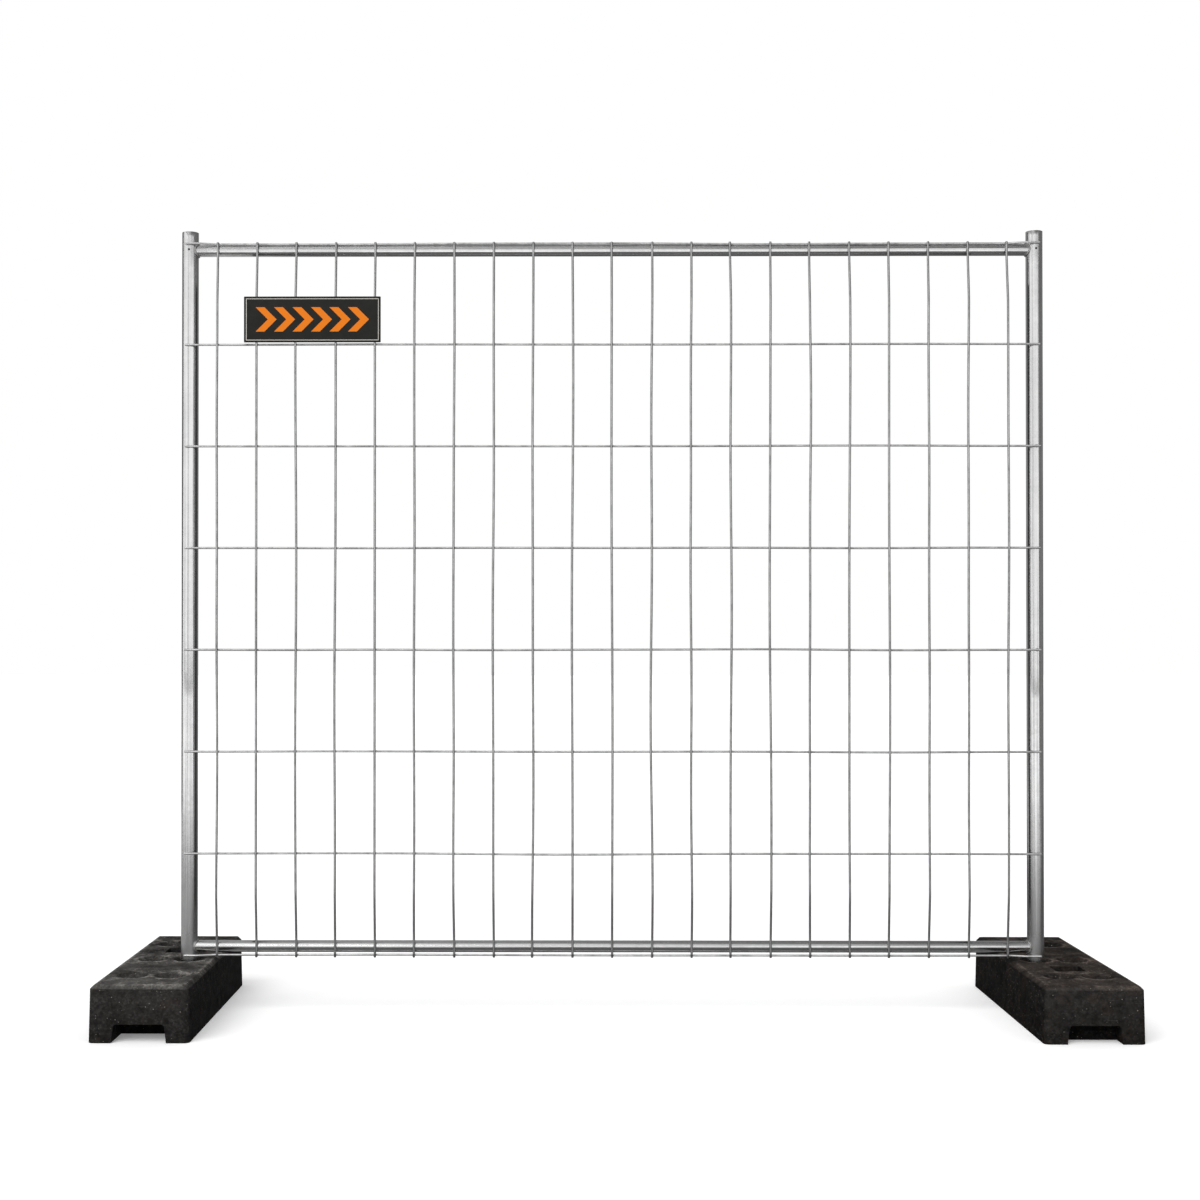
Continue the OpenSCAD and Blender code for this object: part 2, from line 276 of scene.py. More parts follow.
def grid_faces(rows, columns, close_rows=False, flip=False):
    """Quads of a grid of points numbered row by row. Columns close on themselves, and rows where asked."""
    i = np.arange(rows if close_rows else rows - 1)[:, None]
    j = np.arange(columns)[None, :]
    i_next, j_next = (i + 1) % rows, (j + 1) % columns
    quads = [i * columns + j, i * columns + j_next, i_next * columns + j_next, i_next * columns + j]
    quads = quads[::-1] if flip else quads
    return np.stack(np.broadcast_arrays(*quads), -1).reshape(-1, 4)


def add_piece(name, points, faces, material, body, nodes, sharp=40.0):
    """Puts points and groups of faces into a smooth mesh, which rides on a body and stands for nodes."""
    mesh = bpy.data.meshes.new(name)
    face_list = [face for group in faces for face in group.tolist()]
    mesh.from_pydata(np.asarray(points).reshape(-1, 3).tolist(), [], face_list)
    mesh.polygons.foreach_set("use_smooth", np.ones(len(mesh.polygons), bool))
    mesh.set_sharp_from_angle(angle=math.radians(sharp))
    mesh.materials.append(material)
    mesh.update()
    piece = bpy.data.objects.new(name, mesh)
    bpy.context.scene.collection.objects.link(piece)
    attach(piece, body)
    if nodes:
        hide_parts(*nodes)
    return piece


def waves(along, size, shortest, longest, seed, angle=None):
    """The sum of six sine waves of random length and phase along a line, and round it at a given angle."""
    count = 6
    rng = np.random.default_rng(seed)
    lengths, phases = rng.uniform(shortest, longest, count), rng.uniform(0, 2 * math.pi, count)
    turns = rng.integers(0, 4, count)
    phase = 2 * math.pi * along[..., None] / lengths + phases
    if angle is not None:
        phase = phase + turns * angle[..., None]
    return size * np.sin(phase).sum(-1) / math.sqrt(count)


def eased_ramp(t, bend):
    """A ramp from 0 to 1 that starts and ends in a parabola over the share bend of its run."""
    t = np.clip(t, 0.0, 1.0)
    slope = 1 / (1 - bend)
    middle = slope * (t - bend / 2)
    start = slope * t**2 / (2 * bend)
    end = 1 - slope * (1 - t) ** 2 / (2 * bend)
    return np.where(t < bend, start, np.where(t > 1 - bend, end, middle))


# Posts


def post_mesh(side, sizes):
    """A tube wall: a closed profile, up the outside, over the rim, down the inside and under, turned round.

    Round the vent, the grid's squares of lines are drawn towards circles, the innermost to the hole's edge.
    """
    # Columns round the tube, the front one, and the outermost and innermost squares that are drawn
    columns, front, reach, ring = 80, 60, 8, 2
    vent_r, rim = sizes.vent_d / 2, sizes.rim
    inner_r = POST_R - sizes.post_wall
    low, high = POST_LOW[2], POST_HIGH[2]
    cell = 2 * math.pi * POST_R / columns
    near_vent = RAIL_Z["top_rail"] + cell * np.arange(-reach, reach + 1)
    even_rows = 150
    even = np.linspace(low + rim, high - rim, even_rows)
    even = even[np.abs(even - RAIL_Z["top_rail"]) > (reach + 0.6) * cell]
    rows = np.sort(np.concatenate([even, near_vent]))
    quarter = np.radians([30.0, 60.0, 90.0])
    outer_cap = [POST_R - rim + rim * np.cos(quarter), rim * np.sin(quarter)]
    inner_cap = [inner_r + rim - rim * np.sin(quarter - quarter[0]), rim * np.cos(quarter - quarter[0])]
    radius = np.concatenate([
        np.full(len(rows), POST_R), outer_cap[0], inner_cap[0],
        np.full(len(rows), inner_r), inner_cap[0][::-1], outer_cap[0][::-1],
    ])
    height = np.concatenate([
        rows, high - rim + outer_cap[1], high - rim + inner_cap[1],
        rows[::-1], low + rim - inner_cap[1][::-1], low + rim - outer_cap[1][::-1],
    ])
    row_no, column_no = np.meshgrid(np.arange(len(radius)), np.arange(columns), indexing="ij")
    angle = 2 * math.pi * column_no / columns
    height = np.repeat(height[:, None], columns, 1)
    radius = np.repeat(radius[:, None], columns, 1)

    middle = int(np.searchsorted(rows, RAIL_Z["top_rail"] - cell / 2))
    inside_start = len(rows) + 2 * len(quarter)
    wall_row = np.where(row_no < len(rows), row_no, inside_start + len(rows) - 1 - row_no)
    on_wall = (row_no < len(rows)) | ((row_no >= inside_start) & (row_no < inside_start + len(rows)))
    across, up = column_no - front, wall_row - middle
    square = np.where(on_wall, np.maximum(abs(across), abs(up)), reach + 1)
    pull = np.clip((reach - square) / (reach - ring), 0.0, 1.0)
    heading = np.arctan2(up, across)
    circle = vent_r + (square - ring) * cell
    arc = POST_R * (angle - 2 * math.pi * front / columns)
    arc = arc + pull * (circle * np.cos(heading) - arc)
    height = height + pull * (RAIL_Z["top_rail"] + circle * np.sin(heading) - height)
    angle = 2 * math.pi * front / columns + arc / POST_R

    radius = radius + waves(height, sizes.wobble, 0.06, 0.5, SEEDS["post"] + (side > 0), angle)
    points = np.stack([side * POST_X + radius * np.cos(angle), radius * np.sin(angle), height], -1)
    faces = grid_faces(len(radius), columns, close_rows=True)
    in_hole = (square <= ring).reshape(-1)[faces].all(1)
    edge = np.flatnonzero(square == ring).reshape(2, -1)
    order = np.argsort(heading.reshape(-1)[edge], axis=1)
    edge = np.take_along_axis(edge, order, 1)
    after = np.roll(edge, -1, axis=1)
    hole_wall = np.stack([edge[0], edge[1], after[1], after[0]], -1)
    return points, [faces[~in_hole], hole_wall]


# Rails and their welds


def saddle_x(across):
    """Half the rail's length at a distance across from its mid plane, by the post's circle."""
    return POST_X - np.sqrt(POST_R**2 - across**2)


def rail_mesh(z, sizes, seed):
    """A tube along X: at each angle the outside runs between the saddle curves, and the inside back."""
    columns, rows = 64, 160
    share = np.concatenate([np.linspace(-1, 1, rows), np.linspace(1, -1, rows)])[:, None]
    outside = (np.arange(2 * rows) < rows)[:, None]
    angle = (2 * math.pi * np.arange(columns) / columns)[None, :]
    radius = np.where(outside, RAIL_R, RAIL_R - sizes.rail_wall)
    x = share * saddle_x(radius * np.sin(angle))
    radius = radius + waves(x, sizes.wobble, 0.06, 0.5, seed, np.broadcast_to(angle, x.shape))
    points = np.stack([x, radius * np.sin(angle), z + radius * np.cos(angle)], -1)
    return points, [grid_faces(2 * rows, columns, close_rows=True, flip=True)]


def weld_bead_mesh(side, z, sizes, seed):
    """A round section carried along the curve where rail and post meet, swelling at each weld ripple."""
    rows, columns = 168, 12
    centre_off, bead_r = 0.3 * sizes.weld_leg, 0.7 * sizes.weld_leg
    turn = 2 * math.pi * np.arange(rows) / rows
    section = 2 * math.pi * np.arange(columns) / columns
    y, up = RAIL_R * np.sin(turn), RAIL_R * np.cos(turn)
    x = saddle_x(y)
    curve = np.stack([side * x, y, z + up], -1)
    off_rail = np.stack([np.zeros(rows), np.sin(turn), np.cos(turn)], -1)
    off_post = np.stack([-side * (POST_X - x), y, np.zeros(rows)], -1) / POST_R
    ripples = round(2 * math.pi * RAIL_R / sizes.weld_ripple)
    pool = (turn * ripples / (2 * math.pi)) % 1.0
    ripple_depth, unevenness = 0.11, 0.05
    swell = 1.0 + ripple_depth * np.sqrt(1 - pool) - 0.05 + waves(turn, unevenness, 0.5, 2.5, seed)
    centre = curve + centre_off * (off_rail + off_post)
    cos, sin = np.cos(section)[None, :, None], np.sin(section)[None, :, None]
    spoke = cos * off_rail[:, None] + sin * off_post[:, None]
    points = centre[:, None] + bead_r * swell[:, None, None] * spoke
    return points, grid_faces(rows, columns, close_rows=True, flip=side > 0)


# Wires


def wire_mesh(path, radius, sides, across):
    """A circle carried along a path, square to it; its ends are nipped, as by a shear, and closed flat."""
    tangent = np.gradient(path, axis=0)
    tangent /= np.linalg.norm(tangent, axis=1, keepdims=True)
    first = across - (tangent @ across)[:, None] * tangent
    first /= np.linalg.norm(first, axis=1, keepdims=True)
    second = np.cross(tangent, first)
    nip_run, nip_width = 0.35, 0.72
    nip = nip_run * radius * tangent
    head, tail = path[:1], path[-1:]
    path = np.concatenate([head, head + nip[:1], path[1:-1], tail - nip[-1:], tail])
    first, second = (np.concatenate([v[:1], v, v[-1:]]) for v in (first, second))
    thick = np.full(len(path), radius)
    thick[[0, -1]] *= nip_width
    turn = 2 * math.pi * np.arange(sides) / sides
    ring = np.cos(turn)[None, :, None] * first[:, None] + np.sin(turn)[None, :, None] * second[:, None]
    points = path[:, None] + thick[:, None, None] * ring
    ends = np.stack([np.arange(sides)[::-1], np.arange(sides) + (len(path) - 1) * sides])
    return points, [grid_faces(len(path), sides), ends]


def vertical_stray(name, z, sizes):
    """Sideways stray of a vertical wire at a height; the wires that carry the sign stay straight."""
    bow = 0.0 if name in SIGN_WIRES else sizes.vertical_bow
    return waves(z, bow, 0.5, 2.6, SEEDS["vertical"] + VERTICAL_NAMES.index(name))


def horizontal_stray(name, x, sizes):
    """Stray in height of a horizontal wire, which dies away at the posts."""
    held = np.clip((POST_X - abs(x)) / 0.3, 0.0, 1.0)
    seed = SEEDS["horizontal"] + HORIZONTAL_NAMES.index(name)
    return held * waves(x, sizes.horizontal_bow, 0.5, 2.2, seed)


def vertical_line(name, z, sizes):
    """Axis of a vertical wire at heights z: on the rails' fronts at its ends, a step forward between."""
    low, high = box_of(name)
    radius = (high[0] - low[0]) / 2
    # Share of the step's run that bends at either end
    bend = 0.11
    from_bottom = (z - RAIL_Z["bottom_rail"] - sizes.step_lead) / sizes.step_run
    from_top = (RAIL_Z["top_rail"] - sizes.step_lead - z) / sizes.step_run
    forward = np.minimum(eased_ramp(from_bottom, bend), eased_ramp(from_top, bend))
    on_rail, on_mesh = high[1] - radius, low[1] + radius
    x = (low[0] + high[0]) / 2 + vertical_stray(name, z, sizes)
    return np.stack([x, on_rail + forward * (on_mesh - on_rail), z], -1)


def horizontal_line(name, x, sizes):
    """Axis of a horizontal wire at places x: on the posts' fronts; the outer wires are set back between."""
    low, high = box_of(name)
    radius = (high[2] - low[2]) / 2
    bend = 0.06
    back = eased_ramp((POST_X - POST_R - sizes.end_lead - abs(x)) / sizes.end_run, bend)
    on_post, set_back = low[1] + radius, high[1] - radius
    z = (low[2] + high[2]) / 2 + horizontal_stray(name, x, sizes)
    return np.stack([x, on_post + back * (set_back - on_post), z], -1)


def crossings(sizes):
    """Places of all crossings: each wire's stray is read where the other one runs."""
    columns = np.array([sum(box_of(name))[0] / 2 for name in VERTICAL_NAMES])
    rows = np.array([sum(box_of(name))[2] / 2 for name in HORIZONTAL_NAMES])
    upright = np.stack([vertical_line(name, rows, sizes) for name in VERTICAL_NAMES])
    level = np.stack([horizontal_line(name, columns, sizes) for name in HORIZONTAL_NAMES], 1)
    between = (upright[..., 1] + level[..., 1]) / 2
    return np.stack([upright[..., 0], between, level[..., 2]], -1).reshape(-1, 3)


def nugget_mesh(centres, half_sizes, seed):
    """One flattened ball per spot weld, each a little off its size: coarse latitude and longitude."""
    rows, columns = 6, 8
    rng = np.random.default_rng(seed)
    latitude = np.linspace(-0.5, 0.5, rows) * math.pi * 0.96
    longitude = 2 * math.pi * np.arange(columns) / columns
    ball = np.stack(np.broadcast_arrays(
        np.cos(latitude)[:, None] * np.cos(longitude),
        np.sin(latitude)[:, None],
        np.cos(latitude)[:, None] * np.sin(longitude),
    ), -1).reshape(-1, 3)
    scale = half_sizes[:, None] * rng.uniform(0.85, 1.18, (len(centres), 1, 3))
    points = centres[:, None] + scale * ball * rng.uniform(0.93, 1.05, (len(centres), len(ball), 1))
    start = (np.arange(len(centres)) * rows * columns)[:, None, None]
    sides = (start + grid_faces(rows, columns, flip=True)[None]).reshape(-1, 4)
    ring = np.arange(columns)
    poles = np.stack([ring, (ring + (rows - 1) * columns)[::-1]])
    return points, [sides, (start + poles[None]).reshape(-1, columns)]


# Sign


def sign_mesh(sizes):
    """The plate's rounded outline carried over its edge and drawn in to its middle, on front and back."""
    half = np.array([SIGN_HIGH[0] - SIGN_LOW[0], SIGN_HIGH[2] - SIGN_LOW[2]]) / 2
    middle = (SIGN_LOW + SIGN_HIGH) / 2
    thick = SIGN_HIGH[1] - SIGN_LOW[1]
    corner = sizes.corner
    steps = 7
    bends = np.concatenate([np.linspace(k, k + 1, steps) for k in range(4)]) * math.pi / 2
    signs = np.repeat(np.array([[1, 1], [-1, 1], [-1, -1], [1, -1]]), steps, 0)
    outline = signs * (half - corner) + corner * np.stack([np.cos(bends), np.sin(bends)], -1)
    round_off = 0.3 * thick
    inset = np.array([1.0, 0.3, 0.0, 0.0, 0.3, 1.0]) * round_off
    depth = np.array([0.0, 0.1, 0.35, 0.65, 0.9, 1.0])
    shrink = np.array([0.94, 0.8, 0.6, 0.4, 0.2, 0.04])
    scales = np.concatenate([shrink[::-1], np.ones_like(inset), shrink])
    insets = np.concatenate([np.full_like(shrink, round_off), inset, np.full_like(shrink, round_off)])
    depths = np.concatenate([np.zeros_like(shrink), depth, np.ones_like(shrink)])
    flat = scales[:, None, None] * outline * (1 - insets[:, None, None] / half)
    # The plate bows forward a little between its clips
    bow = 0.9 * MM
    bulge = bow * np.cos(flat[..., 0] / half[0] * math.pi / 2) * np.cos(flat[..., 1] / half[1] * 1.2)
    y = SIGN_LOW[1] + depths[:, None] * thick - bulge
    points = np.stack([middle[0] + flat[..., 0], y, middle[2] + flat[..., 1]], -1)
    count = outline.shape[0]
    ends = np.stack([np.arange(count), (np.arange(count) + (len(scales) - 1) * count)[::-1]])
    return points, [grid_faces(len(scales), count, flip=True), ends]


# Materials


def zinc_tube(colours, name, axis, joints, shade_top=0.0):
    """Galvanised steel tube, zinc coated and then rolled: soft bright streaks along the tube, dull patches,
    faint crystals a centimetre across, and a matt band of zinc paint where each weld was touched up.
    Painted shade darkens a post towards the ground, up to a given height."""
    made, tree, place = new_material(name)
    along = 1 / (900 * MM)
    across = 1 / (3.5 * MM)
    stretch = [across] * 3
    stretch[axis] = along
    streak_place = add(tree, "Mapping", {"Vector": place, "Scale": stretch})[0]
    streak = add(tree, "TexNoise", {"Vector": streak_place, "Scale": 1.0, "Detail": 2.0, "Roughness": 0.55})
    patch = add(tree, "TexNoise", {
        "Vector": place, "Scale": 1 / (95 * MM), "Detail": 4.0, "Roughness": 0.62,
    })
    spangle = add(tree, "TexVoronoi", {"Vector": place, "Scale": 1 / (11 * MM)})
    crystal = add(tree, "SeparateColor", {0: spangle["Color"]})[0]
    # Share of dull zinc: streaks, patches and crystals weighed together
    dull = add(tree, "Math", {0: streak[0], 1: 0.8}, operation="MULTIPLY")
    dull = add(tree, "Math", {0: patch[0], 1: 0.25, 2: dull[0]}, operation="MULTIPLY_ADD")
    dull = add(tree, "Math", {0: crystal, 1: 0.05, 2: dull[0]}, operation="MULTIPLY_ADD")
    dull = add(tree, "MapRange", {0: dull[0], 1: 0.42, 2: 0.82, 3: 0.0, 4: 1.0})
    # Painted shade: the dull share grows towards the ground, up to the given height
    if shade_top:
        low = add(tree, "SeparateXYZ", {0: place})[2]
        low = add(tree, "MapRange", {0: low, 1: 0.0, 2: shade_top, 3: 1.25, 4: 0.0})[0]
        dull = add(tree, "Math", {0: dull[0], 1: low}, operation="ADD")
    tone = add(tree, "Mix", {0: dull[0], 6: colours.zinc, 7: colours.zinc_shade}, data_type="RGBA")
    # Zinc paint: the nearest joint along the tube, with a ragged edge
    spot = add(tree, "SeparateXYZ", {0: place})[axis]
    rag = add(tree, "TexNoise", {"Vector": place, "Scale": 1 / (17 * MM), "Detail": 3.0})
    far = None
    for joint in joints:
        gap = add(tree, "Math", {0: spot, 1: joint}, operation="SUBTRACT")[0]
        gap = add(tree, "Math", {0: gap}, operation="ABSOLUTE")[0]
        far = gap if far is None else add(tree, "Math", {0: far, 1: gap}, operation="MINIMUM")[0]
    far = add(tree, "Math", {0: rag[0], 1: 26 * MM, 2: far}, operation="MULTIPLY_ADD")[0]
    paint = add(tree, "MapRange", {0: far, 1: 30 * MM, 2: 52 * MM, 3: 0.3, 4: 0.0})[0]
    painted = add(tree, "Mix", {0: paint, 6: tone[2], 7: colours.wire}, data_type="RGBA")
    rough = add(tree, "MapRange", {0: dull[0], 1: 0.0, 2: 1.0, 3: 0.13, 4: 0.25})[0]
    rough = add(tree, "Math", {0: paint, 1: 0.24, 2: rough}, operation="MULTIPLY_ADD")[0]
    bump = add(tree, "Bump", {"Height": streak[0], "Strength": 0.8, "Distance": 0.25 * MM})
    shader = add(tree, "BsdfPrincipled", {
        "Base Color": painted[2], "Metallic": 1.0, "Roughness": rough, "Normal": bump[0],
    })
    add(tree, "OutputMaterial", {"Surface": shader[0]})
    return made


def zinc_wire(colours, name, bright, bloom):
    """Galvanised drawn wire: smooth zinc with short dull stretches, under a share of matt, pale bloom."""
    made, tree, place = new_material(name)
    dull = add(tree, "TexNoise", {
        "Vector": place, "Scale": 1 / (34 * MM), "Detail": 4.0, "Roughness": 0.65,
    })
    share = add(tree, "MapRange", {0: dull[0], 1: 0.38, 2: 0.66, 3: 0.0, 4: 0.8})[0]
    tone = add(tree, "Mix", {0: share, 6: bright, 7: colours.wire_shade}, data_type="RGBA")[2]
    rough = add(tree, "MapRange", {0: share, 1: 0.0, 2: 1.0, 3: 0.30, 4: 0.46})[0]
    grain = add(tree, "TexNoise", {"Vector": place, "Scale": 1 / (0.9 * MM), "Detail": 2.0})
    bump = add(tree, "Bump", {"Height": grain[0], "Strength": 0.08, "Distance": 0.1 * MM})[0]
    shader = add(tree, "BsdfPrincipled", {
        "Base Color": tone, "Metallic": 1.0 - bloom, "Roughness": rough, "Normal": bump,
    })
    add(tree, "OutputMaterial", {"Surface": shader[0]})
    return made


def weld_metal(colours, name, grit):
    """Weld steel under zinc paint: uneven grey with patches of brownish heat tint, and a rough skin."""
    made, tree, place = new_material(name)
    tint = add(tree, "TexNoise", {"Vector": place, "Scale": 1 / (7 * MM), "Detail": 4.0, "Roughness": 0.7})
    share = add(tree, "MapRange", {0: tint[0], 1: 0.45, 2: 0.72, 3: 0.0, 4: 0.8})[0]
    tone = add(tree, "Mix", {0: share, 6: colours.weld, 7: colours.scorch}, data_type="RGBA")[2]
    rough = add(tree, "MapRange", {0: tint[0], 1: 0.3, 2: 0.7, 3: 0.36, 4: 0.58})[0]
    grain = add(tree, "TexNoise", {"Vector": place, "Scale": 1 / grit, "Detail": 3.0})
    bump = add(tree, "Bump", {"Height": grain[0], "Strength": 0.4, "Distance": 0.25 * MM})[0]
    shader = add(tree, "BsdfPrincipled", {
        "Base Color": tone, "Metallic": 1.0, "Roughness": rough, "Normal": bump,
    })
    add(tree, "OutputMaterial", {"Surface": shader[0]})
    return made


def recycled_rubber(colours, sizes):
    """Moulded recycled rubber crumb: near-black with greyer and browner crumbs, scattered pale and red ones,
    a finely pitted skin, ends that scuffs and painted light make paler than the sides, painted shade that
    dims the right foot, and dried dirt on whatever faces up."""
    made, tree, place = new_material("moulded_recycled_rubber")
    split = add(tree, "SeparateXYZ", {0: place})
    # The right foot is of a browner batch and carries less dirt
    right = add(tree, "MapRange", {0: split[0], 1: -0.5, 2: 0.5, 3: 0.0, 4: 1.0})[0]
    # Crumb: each cell has a tone of its own, and blotches of brown run through it
    crumb = add(tree, "TexVoronoi", {"Vector": place, "Scale": 1 / sizes.granule})
    shade = add(tree, "SeparateColor", {0: crumb["Color"]})
    grey = add(tree, "Math", {0: shade[0], 1: 2.2}, operation="POWER")[0]
    tone = add(tree, "Mix", {0: grey, 6: colours.rubber, 7: colours.rubber_grey}, data_type="RGBA")[2]
    blotch = add(tree, "TexNoise", {
        "Vector": place, "Scale": 1 / (38 * MM), "Detail": 7.0, "Roughness": 0.75,
    })
    brown = add(tree, "MapRange", {0: blotch[0], 1: 0.48, 2: 0.72, 3: 0.0, 4: 0.8})[0]
    batch = add(tree, "MapRange", {0: right, 3: 0.4, 4: 1.1})[0]
    brown = add(tree, "Math", {0: brown, 1: batch}, operation="MULTIPLY")[0]
    tone = add(tree, "Mix", {0: brown, 6: tone, 7: colours.rubber_brown}, data_type="RGBA")[2]
    # Wear mottles the skin, and painted shade dims the right foot a little
    mottle = add(tree, "TexNoise", {
        "Vector": place, "Scale": 1 / (26 * MM), "Detail": 6.0, "Roughness": 0.74,
    })[0]
    mottle = add(tree, "MapRange", {0: mottle, 1: 0.34, 2: 0.66, 3: 0.3, 4: 2.3})[0]
    right_foot_shade = add(tree, "MapRange", {0: right, 3: 1.0, 4: 0.7})[0]
    mottle = add(tree, "Math", {0: mottle, 1: right_foot_shade}, operation="MULTIPLY")[0]
    tone = add(tree, "VectorMath", {0: tone, "Scale": mottle}, operation="SCALE")[0]
    # Where a point lies on its foot: from the middle, from the nearest socket, and inside the top's outline
    x = add(tree, "Math", {0: split[0]}, operation="ABSOLUTE")[0]
    x = add(tree, "Math", {0: x, 1: FOOT_X}, operation="SUBTRACT")[0]
    x = add(tree, "Math", {0: x}, operation="ABSOLUTE")[0]
    y = add(tree, "Math", {0: split[1]}, operation="ABSOLUTE")[0]
    top_x, top_y = float(FOOT_HIGH[0]) - FOOT_X - sizes.brow, float(FOOT_HIGH[1]) - sizes.brow
    from_side = add(tree, "Math", {0: top_x, 1: x}, operation="SUBTRACT")[0]
    from_end = add(tree, "Math", {0: top_y, 1: y}, operation="SUBTRACT")[0]
    column = add(tree, "Math", {0: x, 1: SOCKET_COLUMN}, operation="SUBTRACT")[0]
    half_row = add(tree, "Math", {0: split[1], 1: SOCKET_ROW / 2}, operation="ADD")[0]
    nearest = add(tree, "Math", {0: half_row, 1: SOCKET_ROW}, operation="SNAP")[0]
    row = add(tree, "Math", {0: split[1], 1: nearest}, operation="SUBTRACT")[0]
    spoke = add(tree, "CombineXYZ", {0: column, 1: row})[0]
    radius = add(tree, "VectorMath", {0: spoke}, operation="LENGTH")["Value"]
    # Scuffs and painted light pale the ends, unevenly and in slanting scratches
    ragged = add(tree, "TexNoise", {
        "Vector": place, "Scale": 1 / (16 * MM), "Detail": 6.0, "Roughness": 0.72,
    })[0]
    lit_end = add(tree, "MapRange", {0: from_end, 1: -5 * MM, 2: 1 * MM, 3: 1.0, 4: 0.08})[0]
    scuffed_and_lit = add(tree, "MapRange", {0: ragged, 1: 0.3, 2: 0.75, 3: 0.03, 4: 0.26})[0]
    lengthwise, across = 1 / (70 * MM), 1 / (5 * MM)
    scratch_place = add(tree, "Mapping", {
        "Vector": place, "Rotation": (0.0, math.radians(24), 0.0),
        "Scale": (lengthwise, lengthwise, across),
    })[0]
    scratch = add(tree, "TexNoise", {
        "Vector": scratch_place, "Scale": 1.0, "Detail": 4.0, "Roughness": 0.7,
    })[0]
    scratch = add(tree, "MapRange", {0: scratch, 1: 0.61, 2: 0.7, 3: 0.0, 4: 0.4})[0]
    scuffed_and_lit = add(tree, "Math", {0: scuffed_and_lit, 1: scratch}, operation="ADD")[0]
    # The paling of the ends, partly painted light, grows towards the top
    higher = add(tree, "MapRange", {0: split[2], 1: 0.0, 2: float(FOOT_HIGH[2]), 3: 0.45, 4: 1.1})[0]
    lit_end = add(tree, "Math", {0: lit_end, 1: higher}, operation="MULTIPLY")[0]
    scuffed_and_lit = add(tree, "Math", {0: scuffed_and_lit, 1: lit_end}, operation="MULTIPLY")[0]
    tone = add(tree, "Mix", {0: scuffed_and_lit, 6: tone, 7: colours.scuff_and_end_light}, data_type="RGBA")[2]
    # Pale and red crumbs: the cores of widely spaced cells, of which a few show, by the cell's own colour
    speck = add(tree, "TexVoronoi", {"Vector": place, "Scale": 1 / sizes.speck})
    core = add(tree, "MapRange", {0: speck["Distance"], 1: 0.05, 2: 0.17, 3: 1.0, 4: 0.0})[0]
    kind = add(tree, "SeparateColor", {0: speck["Color"]})
    pale = add(tree, "MapRange", {0: kind[0], 1: 0.45, 2: 1.0, 3: 0.0, 4: 0.62})[0]
    pale = add(tree, "Math", {0: pale, 1: core}, operation="MULTIPLY")[0]
    red = add(tree, "MapRange", {0: kind[1], 1: 0.9, 2: 1.0, 3: 0.0, 4: 0.6})[0]
    red = add(tree, "Math", {0: red, 1: core}, operation="MULTIPLY")[0]
    tone = add(tree, "Mix", {0: pale, 6: tone, 7: colours.pale_crumb}, data_type="RGBA")[2]
    tone = add(tree, "Mix", {0: red, 6: tone, 7: colours.red_crumb}, data_type="RGBA")[2]
    # Dirt gathers in broken lines round the mouths of the sockets and along the edge of the top
    rim = add(tree, "Math", {0: radius, 1: sizes.mouth_r + 5 * MM}, operation="SUBTRACT")[0]
    rim = add(tree, "Math", {0: rim}, operation="ABSOLUTE")[0]
    brow = add(tree, "Math", {0: from_side, 1: from_end}, operation="MINIMUM")[0]
    brow = add(tree, "Math", {0: brow}, operation="ABSOLUTE")[0]
    line = add(tree, "Math", {0: rim, 1: brow}, operation="MINIMUM")[0]
    line = add(tree, "Math", {0: ragged, 1: -14 * MM, 2: line}, operation="MULTIPLY_ADD")[0]
    line = add(tree, "MapRange", {0: line, 1: -7 * MM, 2: 2 * MM, 3: 1.0, 4: 0.0})[0]
    cloud = add(tree, "TexNoise", {
        "Vector": place, "Scale": 1 / (75 * MM), "Detail": 8.0, "Roughness": 0.68,
    })[0]
    broken = add(tree, "MapRange", {0: cloud, 1: 0.44, 2: 0.58, 3: 0.0, 4: 0.6})[0]
    line = add(tree, "Math", {0: line, 1: broken}, operation="MULTIPLY")[0]
    # Wavy lines that water left are the crests of a stirred cloud
    swirl = add(tree, "TexNoise", {
        "Vector": place, "Scale": 1 / (85 * MM), "Detail": 4.0, "Roughness": 0.6, "Distortion": 1.6,
    })[0]
    crest = add(tree, "Math", {0: swirl, 1: 0.5}, operation="SUBTRACT")[0]
    crest = add(tree, "Math", {0: crest}, operation="ABSOLUTE")[0]
    crest = add(tree, "MapRange", {0: crest, 1: 0.0, 2: 0.026, 3: 1.2, 4: 0.0})[0]
    # More of it lies towards the front than at the back
    outward = add(tree, "MapRange", {
        0: split[1], 1: float(FOOT_LOW[1]), 2: float(FOOT_HIGH[1]), 3: 0.13, 4: -0.06,
    })[0]
    heap = add(tree, "MapRange", {0: cloud, 1: 0.38, 2: 0.66, 3: 0.0, 4: 0.3})[0]
    crest = add(tree, "Math", {0: crest, 1: broken, 2: heap}, operation="MULTIPLY_ADD")[0]
    dirt = add(tree, "Math", {0: crest, 1: outward}, operation="ADD")[0]
    dirt = add(tree, "Math", {0: dirt, 1: line}, operation="ADD")[0]
    grit = add(tree, "TexNoise", {
        "Vector": place, "Scale": 1 / (6 * MM), "Detail": 3.0, "Roughness": 0.7,
    })[0]
    grit = add(tree, "MapRange", {0: grit, 1: 0.32, 2: 0.68, 3: 0.45, 4: 1.5})[0]
    dirt = add(tree, "Math", {0: dirt, 1: grit}, operation="MULTIPLY")[0]
